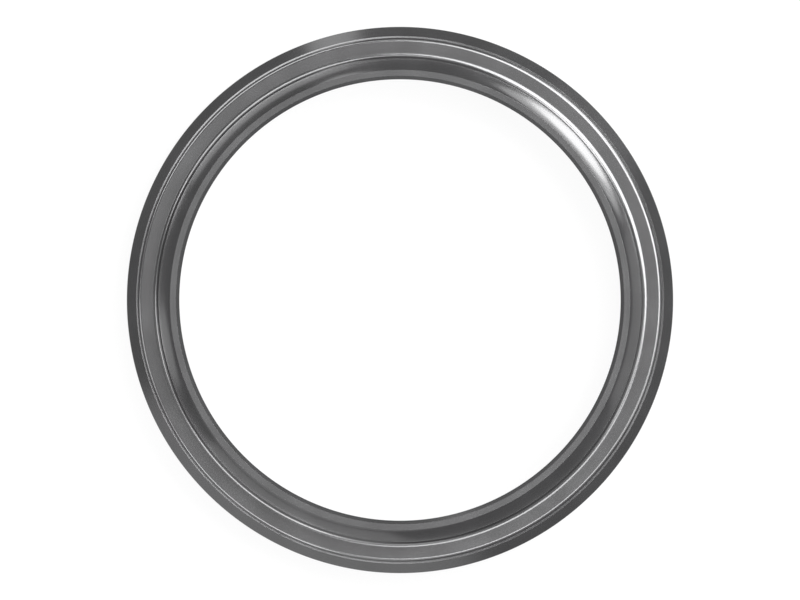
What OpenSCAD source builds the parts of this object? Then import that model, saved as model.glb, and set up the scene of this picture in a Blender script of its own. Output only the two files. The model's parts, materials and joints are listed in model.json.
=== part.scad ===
// Wiper seal for a sliding rod, moulded in one piece.
// It lies on its back face with the wiping lip up. The z axis is the rod's axis, and z = 0 is the back face.
// One section is turned about that axis. In the section, x is the distance from the axis and y the height.

/* [Rod and groove] */
// Diameter of the rod that the lip wipes
rod_d = 50; // [20:1:120]
// Depth of the groove that holds the body, from the rod's surface to the groove's wall
groove_depth = 5; // [4.8:0.1:7]
// Height of the body, which fills the groove
body_h = 7; // [6.4:0.1:8]

/* [Outside of the body] */
// Chamfer round the back, which leads the seal into its groove
lead_in = 0.5; // [0.2:0.05:0.8]
// Width of the sloping flank at the front, measured to the corner before it is rounded
flank_w = 1.44; // [1:0.04:1.8]
// Height of the sloping flank, measured the same way
flank_h = 1.08; // [0.6:0.04:2]
// Rounding of the front corner
front_round = 0.6; // [0.3:0.05:0.7]

/* [Lip] */
// Height of the lip above the front of the body
lip_h = 3; // [2.6:0.05:3.6]
// How far the free lip stands inside the rod's surface
pinch = 0.78; // [0.5:0.02:1]
// Height of the straight land that touches the rod
land_h = 0.5; // [0.3:0.05:0.8]
// Width of the bevel in front of the land
bevel_w = 0.4; // [0.2:0.02:0.5]
// Height of the bevel in front of the land
bevel_h = 0.35; // [0.2:0.05:0.6]
// Width of the flat tip
tip_w = 0.64; // [0.5:0.02:0.8]
// Width of the hollow slope outside the tip
slope_w = 1.26; // [1:0.02:1.4]
// Height of the hollow slope outside the tip
slope_h = 0.7; // [0.6:0.02:1]
// Radius of the hollow
hollow_r = 7; // [5:0.1:9]
// Width of the hollow root where the lip stands on the body
root_w = 0.72; // [0.4:0.02:0.8]
// Radius of the hollow root
root_r = 1.2; // [0.9:0.05:1.6]

/* [Inside of the body] */
// Gap between the rod and the body
passage_gap = 0.4; // [0.2:0.05:0.5]
// Height up to which the passage is straight
passage_h = 5.6; // [4:0.1:6]
// Chamfer round the back of the passage
heel = 0.3; // [0.1:0.05:0.5]

/* [Hidden] */
$fn = 180;

// How far a cutting shape reaches past what it cuts
over = 1;

total_h = body_h + lip_h;

rod_r = rod_d / 2;
seat_r = rod_r + groove_depth;
passage_r = rod_r + passage_gap;

// The lip, from the land outwards
land_r = rod_r - pinch;
land_top = total_h - bevel_h;
tip_in_r = land_r + bevel_w;
tip_out_r = tip_in_r + tip_w;
neck_r = tip_out_r + slope_w;
neck_top = total_h - slope_h;

// The front corner, where the flank would meet the front, and the arc that rounds it
corner = [seat_r - flank_w, body_h];
flank_a = atan2(flank_h, flank_w);
cut_back = front_round * tan(flank_a / 2);
front_start = [corner.x - cut_back, body_h];
front_centre = front_start - [0, front_round];

// The root's arc, which lies flat on the front and ends part of the way to upright at the neck
root_centre = [neck_r + root_w, body_h + root_r];
root_chord = [root_w, sqrt(root_r * root_r - root_w * root_w)];
root_top = root_centre.y - root_chord.y;

// Centre of the circle of radius r that passes through a and b, on the left of the way from a to b
function arc_centre(a, b, r) =
    let (half = (b - a) / 2, up = sqrt(r * r - half * half) / norm(half))
    a + half + up * [-half.y, half.x];

hollow_centre = arc_centre([tip_out_r, total_h], [neck_r, neck_top], hollow_r);

// The section's corners, up the inside, out over the lip and down the outside.
// The lip's outer corner and the front corner are still whole here, and the root has its fillet's chord.
outline = [
    [passage_r + heel, 0],
    [passage_r, heel],
    [passage_r, passage_h],
    [land_r, land_top - land_h],
    [land_r, land_top],
    [tip_in_r, total_h],
    [neck_r, total_h],
    [neck_r, root_top],
    [neck_r + root_w, body_h],
    corner,
    [seat_r, body_h - flank_h],
    [seat_r, lead_in],
    [seat_r - lead_in, 0]
];

// What the rounding takes off the front corner: the wedge that the arc spans, less the arc's own circle
module front_corner_waste() {
    reach = front_round + over;
    difference() {
        polygon([
            front_centre,
            front_centre + [0, reach],
            front_centre + [reach, reach],
            front_centre + reach * [sin(flank_a), cos(flank_a)]
        ]);
        translate(front_centre) circle(front_round);
    }
}

// What the hollow root takes off its chord: the slice of the arc's circle between the chord's ends
module root_waste() {
    intersection() {
        translate(root_centre) circle(root_r);
        polygon([
            root_centre,
            root_centre - [0, 2 * root_r],
            root_centre - 2 * [root_chord.x, root_r],
            root_centre - 2 * root_chord
        ]);
    }
}

module section() {
    difference() {
        polygon(outline);
        front_corner_waste();
        root_waste();
        translate(hollow_centre) circle(hollow_r);
    }
}

module wiper_seal() {
    color([0.44, 0.44, 0.45]) rotate_extrude() section();
}

wiper_seal();
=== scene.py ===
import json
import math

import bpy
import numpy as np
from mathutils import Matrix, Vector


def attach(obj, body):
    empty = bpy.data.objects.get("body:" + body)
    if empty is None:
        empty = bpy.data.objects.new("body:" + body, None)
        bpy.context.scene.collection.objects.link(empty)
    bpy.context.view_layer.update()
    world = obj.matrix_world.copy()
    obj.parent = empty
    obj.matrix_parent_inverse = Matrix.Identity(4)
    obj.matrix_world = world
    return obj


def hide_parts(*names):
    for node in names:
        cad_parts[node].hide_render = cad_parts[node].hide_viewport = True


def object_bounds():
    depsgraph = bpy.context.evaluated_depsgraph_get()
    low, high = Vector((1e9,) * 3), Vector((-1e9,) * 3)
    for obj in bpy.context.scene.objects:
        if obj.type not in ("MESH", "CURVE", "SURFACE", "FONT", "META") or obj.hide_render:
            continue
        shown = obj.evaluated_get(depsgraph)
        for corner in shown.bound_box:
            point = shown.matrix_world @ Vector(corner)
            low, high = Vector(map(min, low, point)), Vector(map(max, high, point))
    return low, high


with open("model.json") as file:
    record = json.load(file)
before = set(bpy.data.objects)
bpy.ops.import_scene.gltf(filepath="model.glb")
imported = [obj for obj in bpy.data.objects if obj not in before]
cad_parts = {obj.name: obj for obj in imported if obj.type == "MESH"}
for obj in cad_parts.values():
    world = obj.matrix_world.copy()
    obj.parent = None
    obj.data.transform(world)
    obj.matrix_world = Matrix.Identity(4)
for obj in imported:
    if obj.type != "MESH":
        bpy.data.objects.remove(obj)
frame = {"record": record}

# Wiper seal for a sliding rod, lying on its back on a white table and seen straight down the
# rod's axis. The ring is one moulding. Its section is a loop of corners, each rounded to its
# own radius, and the loop is turned about the axis. Sizes in the section are in millimetres,
# counted from the axis and from the back face.

MM = 0.001
cad_lo, cad_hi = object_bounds()

# Camera without perspective, straight down the axis, with the ring in the middle
PIXELS_ACROSS = 800
RING_PIXELS = 546.5                  # outside diameter of the ring in the picture
CAMERA_HEIGHT = 0.5
ring_d = cad_hi.x - cad_lo.x

camera_data = bpy.data.cameras.new("camera down the axis")
camera_data.type = "ORTHO"
camera_data.ortho_scale = ring_d * PIXELS_ACROSS / RING_PIXELS
camera = bpy.data.objects.new("camera down the axis", camera_data)
camera.location = (0, 0, CAMERA_HEIGHT)
bpy.context.scene.collection.objects.link(camera)
bpy.context.scene.camera = camera


def wall(mount):
    """Radius, foot and top in mm of the round wall that a mount of the record describes."""
    found = next(m for m in frame["record"]["mounts"] if m["name"] == mount)
    middle = found["pos_m"][2] / MM
    half = found["dims"]["length_mm"] / 2
    return found["dims"]["r_mm"], middle - half, middle + half


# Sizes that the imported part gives. Both chamfers at the back are as wide as they are high.
land_r, land_low, land_high = wall("rod_lip")
passage_r, heel_top, passage_top = wall("rod_passage")
seat_r, lead_top, flank_foot = wall("housing_seat")
top = cad_hi.z / MM

# The other sizes of the section
body_top = 7.0                       # height of the front face
front_round = 0.6                    # rounding of the front corner
flank_w = 1.44                       # sloping flank, from the front corner to the seat
bevel_w = 0.40                       # bevel in front of the land
tip_w = 0.64                         # flat tip of the lip
slope_w, slope_h = 1.26, 0.70        # hollow slope outside the tip
hollow_r = 7.0                       # radius of that hollow
root_w, root_r = 0.72, 1.2           # hollow root, where the lip stands on the body

tip_in = land_r + bevel_w
tip_out = tip_in + tip_w
neck_r = tip_out + slope_w
neck_top = top - slope_h
corner_r = seat_r - flank_w

# The hollow slope and the hollow root are one corner of the loop each: the point where the
# tangents at the two ends of the arc cross. They are rounded a little tighter than the arc
# itself, so that they end clear of the roundings beside them.
HOLLOW_SHARE, ROOT_SHARE = 0.94, 0.86

tip_edge = np.array([tip_out, top])
neck_edge = np.array([neck_r, neck_top])
chord = neck_edge - tip_edge
chord_l = np.linalg.norm(chord)
hollow_bend = math.asin(chord_l / 2 / hollow_r)
inwards = np.array([chord[1], -chord[0]]) / chord_l
hollow_corner = (tip_edge + neck_edge) / 2 + inwards * chord_l / 2 * math.tan(hollow_bend)

root_bend = math.asin(root_w / root_r)
root_top = body_top + root_r * (1 - math.cos(root_bend))
root_corner = (neck_r + root_w - root_r * math.tan(root_bend / 2), body_top)

# The parting line of the mould is a fine groove in the flank: a steep inner wall, and a ledge
# that rises outwards.
GROOVE_START = 0.213                 # from the front corner to the inner edge
GROOVE_W = 0.192
GROOVE_WALL_W = 0.012
LEDGE_SLOPE = math.tan(math.radians(6))

groove_in = corner_r + GROOVE_START
groove_out = groove_in + GROOVE_W
ledge_in = groove_in + GROOVE_WALL_W


def flank_height(radius):
    """Height of the flank at a radius: it falls evenly from the front corner to the seat."""
    return body_top - (radius - corner_r) * (body_top - flank_foot) / flank_w


ledge_low = flank_height(groove_out) - (groove_out - ledge_in) * LEDGE_SLOPE

# Corners of the section, clockwise from the back of the passage, each with its rounding
section = (
    ((passage_r + heel_top, 0), 0.08),                      # chamfer at the back
    ((passage_r, heel_top), 0.08),
    ((passage_r, passage_top), 0.6),                        # straight passage ends
    ((land_r, land_low), 0.06),                             # land that touches the rod
    ((land_r, land_high), 0.05),
    ((tip_in, top), 0.008),                                 # flat tip
    (tip_edge, 0.02),
    (hollow_corner, hollow_r * HOLLOW_SHARE),               # hollow slope
    (neck_edge, 0.03),                                      # outside of the neck
    ((neck_r, root_top), 0.03),
    (root_corner, root_r * ROOT_SHARE),                     # hollow root
    ((corner_r, body_top), front_round),                    # front corner
    ((groove_in, flank_height(groove_in)), 0.012),          # parting line in the flank
    ((ledge_in, ledge_low), 0.012),
    ((groove_out, flank_height(groove_out)), 0.02),
    ((seat_r, flank_foot), 0.12),                           # seat in the groove
    ((seat_r, lead_top), 0.1),                              # chamfer that leads it in
    ((seat_r - lead_top, 0), 0.1),
)


def rounded(corners, radii, steps):
    """Closed loop through corners with every corner rounded, as points and outward normals.

    At a corner p with unit directions u and v to its neighbours, the arc of radius q touches
    both sides at the distance q * tan(turn / 2) from p, and its centre lies on the bisector of
    u and v at the distance q / cos(turn / 2). The steps + 1 points of the arc stand evenly by
    angle between the two touching points. The loop runs clockwise, so an arc that turns right
    is convex and its normals point away from its centre, and the others point towards it.
    """
    p = np.asarray(corners, float)
    q = np.asarray(radii, float)[:, None]
    u = np.roll(p, 1, 0) - p
    v = np.roll(p, -1, 0) - p
    u /= np.linalg.norm(u, axis=1, keepdims=True)
    v /= np.linalg.norm(v, axis=1, keepdims=True)
    half_turn = (math.pi - np.arccos(np.clip((u * v).sum(1, keepdims=True), -1, 1))) / 2
    bisector = u + v
    bisector /= np.linalg.norm(bisector, axis=1, keepdims=True)
    centre = p + bisector * q / np.cos(half_turn)
    side = np.sign(u[:, :1] * v[:, 1:] - u[:, 1:] * v[:, :1])
    sweep = np.linspace(1, -1, steps + 1)[None, :, None]
    angle = half_turn[:, :, None] * side[:, :, None] * sweep
    x, y = -bisector[:, None, :1], -bisector[:, None, 1:]
    spoke = np.concatenate((x * np.cos(angle) - y * np.sin(angle),
                            x * np.sin(angle) + y * np.cos(angle)), axis=2)
    points = centre[:, None, :] + spoke * q[:, :, None]
    normals = spoke * side[:, :, None]
    return points.reshape(-1, 2), normals.reshape(-1, 2)


def lathe(name, profile, normals, turns):
    """Closed surface of revolution about the z axis.

    Point (i, j) is (r_i cos a_j, r_i sin a_j, z_i) with a_j = 2 pi j / turns, and its normal is
    the profile's own normal i, turned by the same angle.
    """
    a = np.arange(turns) * (2 * math.pi / turns)
    around = np.stack((np.cos(a), np.sin(a)), 1)

    def turned(flat):
        level = flat[:, None, :1] * around[None]
        height = np.broadcast_to(flat[:, None, 1:], (len(flat), turns, 1))
        return np.concatenate((level, height), axis=2).reshape(-1, 3)

    i, j = np.meshgrid(np.arange(len(profile)), np.arange(turns), indexing="ij")
    here, ahead = i * turns, (i + 1) % len(profile) * turns
    beside = (j + 1) % turns
    faces = np.stack((here + j, ahead + j, ahead + beside, here + beside), -1).reshape(-1, 4)
    mesh = bpy.data.meshes.new(name)
    mesh.from_pydata(turned(profile * MM), [], faces)
    mesh.polygons.foreach_set("use_smooth", np.ones(len(faces), bool))
    mesh.normals_split_custom_set_from_vertices(turned(normals))
    mesh.update()
    piece = bpy.data.objects.new(name, mesh)
    bpy.context.scene.collection.objects.link(piece)
    return piece


class Finish:
    """A node material under construction. Each call adds a node and sets or links its inputs."""

    def __init__(self, name):
        self.material = bpy.data.materials.new(name)
        self.material.use_nodes = True
        self.tree = self.material.node_tree
        self.tree.nodes.clear()

    def node(self, kind, inputs=(), **settings):
        made = self.tree.nodes.new(kind)
        for key, value in settings.items():
            setattr(made, key, value)
        for key, value in dict(inputs).items():
            if isinstance(value, bpy.types.NodeSocket):
                self.tree.links.new(value, made.inputs[key])
            else:
                made.inputs[key].default_value = value
        return made

    def math(self, operation, *values):
        made = self.node("ShaderNodeMath", dict(enumerate(values)), operation=operation)
        return made.outputs[0]

    def noise(self, vector, scale, detail, roughness=0.5):
        return self.node("ShaderNodeTexNoise", {
            "Vector": vector, "Scale": scale, "Detail": detail, "Roughness": roughness,
        }).outputs["Fac"]

    def span(self, value, low, high, start=0.3, end=0.7):
        """The part of a noise from start to end, stretched to run from low to high."""
        return self.node("ShaderNodeMapRange", {
            "Value": value, "From Min": start, "From Max": end, "To Min": low, "To Max": high,
        }).outputs["Result"]

    def output(self, shader):
        self.node("ShaderNodeOutputMaterial", {"Surface": shader})
        return self.material


# Noise cells per metre of the cloudiness, of the mould's turned rings and of its grain
CLOUDS, RINGS, GRAINS = 210.0, 5200.0, 5600.0
RELIEF = {"Strength": 0.1, "Distance": 0.000004}
CLOUD_ROUGHNESS = (0.16, 0.20)
RING_ROUGHNESS = (-0.01, 0.01)       # what the rings take from it or add to it
DARKER_GREY = (0.128, 0.128, 0.130, 1)
LIGHTER_GREY = (0.148, 0.148, 0.151, 1)


def moulded_elastomer():
    """Dark grey elastomer as it comes from a polished mould.

    It has the fine rings of the turned mould with a grain below them, and a faint cloudiness
    in colour and gloss. The rings are a noise read at (distance from the axis, height), so
    they run round the ring.
    """
    f = Finish("moulded dark grey elastomer")
    place = f.node("ShaderNodeTexCoord").outputs["Object"]
    split = f.node("ShaderNodeSeparateXYZ", {"Vector": place}).outputs
    x_squared = f.math("MULTIPLY", split["X"], split["X"])
    y_squared = f.math("MULTIPLY", split["Y"], split["Y"])
    radius = f.math("SQRT", f.math("ADD", x_squared, y_squared))
    round_axis = f.node("ShaderNodeCombineXYZ", {"X": radius, "Y": split["Z"]}).outputs["Vector"]
    cloud = f.noise(place, CLOUDS, detail=3.0)
    streak = f.noise(round_axis, RINGS, detail=2.0)
    grain = f.noise(place, GRAINS, detail=2.0, roughness=0.6)
    mix = f.node("ShaderNodeMix", {
        "Factor": f.span(cloud, 0.0, 1.0), "A": DARKER_GREY, "B": LIGHTER_GREY,
    }, data_type="RGBA")
    colour = next(o for o in mix.outputs if o.type == "RGBA")
    gloss = f.math("ADD", f.span(cloud, *CLOUD_ROUGHNESS), f.span(streak, *RING_ROUGHNESS))
    grained = f.node("ShaderNodeBump", {**RELIEF, "Height": grain}).outputs["Normal"]
    ringed = f.node("ShaderNodeBump", {**RELIEF, "Height": streak, "Normal": grained})
    shader = f.node("ShaderNodeBsdfPrincipled", {
        "Base Color": colour,
        "Roughness": gloss,
        "Normal": ringed.outputs["Normal"],
        "Metallic": 0.70,
        "IOR": 1.5,
        "Specular IOR Level": 1.0,
        "Coat Weight": 1.0,
        "Coat Roughness": 0.12,
        "Coat IOR": 1.5,
    })
    return f.output(shader.outputs["BSDF"])


TABLE_REACH = 3.0                    # half of the table's side
TABLE_DROP = 0.00001                 # gap under the ring, so that the two faces don't meet
TABLE_GREY = (0.14, 0.14, 0.14, 1)
TABLE_TOP_UP = 0.88                  # white less what the lamps make of that grey


def white_table():
    """Plain matt table. What camera, glossy and transmitted rays see is topped up to white."""
    f = Finish("plain white table")
    rays = f.node("ShaderNodeLightPath").outputs
    seen = f.math("MAXIMUM", rays["Is Camera Ray"], rays["Is Glossy Ray"])
    seen = f.math("MAXIMUM", seen, rays["Is Transmission Ray"])
    strength = f.math("MULTIPLY", seen, TABLE_TOP_UP)
    top_up = f.node("ShaderNodeEmission", {"Strength": strength}).outputs["Emission"]
    matt = f.node("ShaderNodeBsdfDiffuse", {"Color": TABLE_GREY}).outputs["BSDF"]
    return f.output(f.node("ShaderNodeAddShader", {0: matt, 1: top_up}).outputs["Shader"])


ARC_STEPS = 9
TURNS = 360

corners, roundings = zip(*section)
profile, outward = rounded(corners, roundings, ARC_STEPS)
ring = lathe("seal_ring", profile, outward, TURNS)
ring.data.materials.append(moulded_elastomer())
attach(ring, "root")
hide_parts("wiper_seal")

table_corners = [(x * TABLE_REACH, y * TABLE_REACH, -TABLE_DROP)
                 for x, y in ((-1, -1), (1, -1), (1, 1), (-1, 1))]
table_mesh = bpy.data.meshes.new("table")
table_mesh.from_pydata(table_corners, [], [(0, 1, 2, 3)])
table_mesh.materials.append(white_table())
table = bpy.data.objects.new("table", table_mesh)
bpy.context.scene.collection.objects.link(table)

LAMP_DISTANCE = 0.7
BOX, OVAL = "RECTANGLE", "ELLIPSE"

# Name and shape of each lamp, then in degrees its azimuth, anticlockwise in the picture from
# the right side, its zenith angle from straight above and the half width and half height that
# it spans, and last its radiance
LAMPS = (
    ("key, upper part", BOX, 37.5, 27.5, 18.5, 15.5, 6.9),
    ("key, lower part", OVAL, 43, 55.5, 11, 8.5, 4.6),
    ("key, soft edge", OVAL, 43.5, 59, 19, 11, 1.8),
    ("overhead", BOX, 0, 0, 8, 8, 0.40),
    ("right front fill", OVAL, 300, 16, 12, 8, 4.6),
    ("right fill", BOX, 343, 34, 8, 8, 2.9),
    ("right glow", BOX, 355, 56, 18, 9, 0.45),
    ("back fill", BOX, 94, 39, 8, 4.5, 1.8),
    ("left back fill", OVAL, 128, 39.5, 19, 6.5, 4.0),
    ("left back line", OVAL, 157, 44, 5, 4.5, 2.2),
    ("left back glow", OVAL, 126, 51, 20, 7, 0.9),
    ("left front fill", BOX, 234, 37.5, 13, 6.5, 4.2),
    ("left front glow", BOX, 243, 54, 22, 9, 0.5),
    ("low back light", OVAL, 104.5, 72.5, 5.5, 7.5, 1.15),
    ("low left light", OVAL, 243, 72, 44, 7, 0.5),
    ("left side fill", OVAL, 188, 40.5, 7, 6, 3.0),
    ("left side glow", OVAL, 191, 55, 8, 9, 0.75),
    ("left side line", BOX, 205, 37, 7, 4.5, 1.5),
    ("front fill", BOX, 262, 36, 12, 8, 1.1),
    ("left front sheen", BOX, 225, 20, 14, 8, 0.55),
    ("small back light", BOX, 85, 10, 2, 2.5, 2.4),
    ("small left light", BOX, 157, 10, 2, 2.5, 2.2),
)


def softbox(name, shape, azimuth, zenith, half_width, half_height, radiance):
    """Flat lamp at LAMP_DISTANCE, aimed at the ring.

    It stands at (sin z cos a, sin z sin a, cos z) times that distance, and gives pi times its
    radiance for each unit of its area.
    """
    a, z = math.radians(azimuth), math.radians(zenith)
    towards = Vector((math.sin(z) * math.cos(a), math.sin(z) * math.sin(a), math.cos(z)))
    lamp = bpy.data.lights.new(name, "AREA")
    lamp.shape = shape
    lamp.size = 2 * LAMP_DISTANCE * math.tan(math.radians(half_width))
    lamp.size_y = 2 * LAMP_DISTANCE * math.tan(math.radians(half_height))
    filled = math.pi / 4 if shape == OVAL else 1
    lamp.energy = radiance * math.pi * lamp.size * lamp.size_y * filled
    holder = bpy.data.objects.new(name, lamp)
    holder.location = towards * LAMP_DISTANCE
    holder.rotation_euler = towards.to_track_quat("Z", "Y").to_euler()
    holder.visible_camera = False
    bpy.context.scene.collection.objects.link(holder)


for lamp_row in LAMPS:
    softbox(*lamp_row)

# The studio's walls are dark grey, white at the horizon behind the table, and lighter in one
# soft band. Each stop is the height of a direction, 0 at the horizon and 1 straight above, and
# the radiance there.
WALL_STOPS = ((0.03, 1.0), (0.06, 0.2), (0.22, 0.15), (0.42, 0.08),
              (0.685, 0.08), (0.73, 0.6), (0.80, 0.6), (0.87, 0.14))


def grey_studio():
    """World whose radiance at a direction is read from WALL_STOPS at the direction's height."""
    world = bpy.data.worlds.new("grey studio")
    world.use_nodes = True
    nodes, links = world.node_tree.nodes, world.node_tree.links
    direction = nodes.new("ShaderNodeTexCoord").outputs["Generated"]
    split = nodes.new("ShaderNodeSeparateXYZ")
    walls = nodes.new("ShaderNodeValToRGB")
    walls.color_ramp.interpolation = "EASE"
    stops = walls.color_ramp.elements
    for number, (height, radiance) in enumerate(WALL_STOPS):
        stop = stops[number] if number < len(stops) else stops.new(height)
        stop.position = height
        stop.color = (radiance, radiance, radiance, 1)
    links.new(direction, split.inputs["Vector"])
    links.new(split.outputs["Z"], walls.inputs["Fac"])
    links.new(walls.outputs["Color"], nodes["Background"].inputs["Color"])
    nodes["Background"].inputs["Strength"].default_value = 1
    return world


bpy.context.scene.world = grey_studio()
bpy.context.scene.view_settings.view_transform = "Standard"
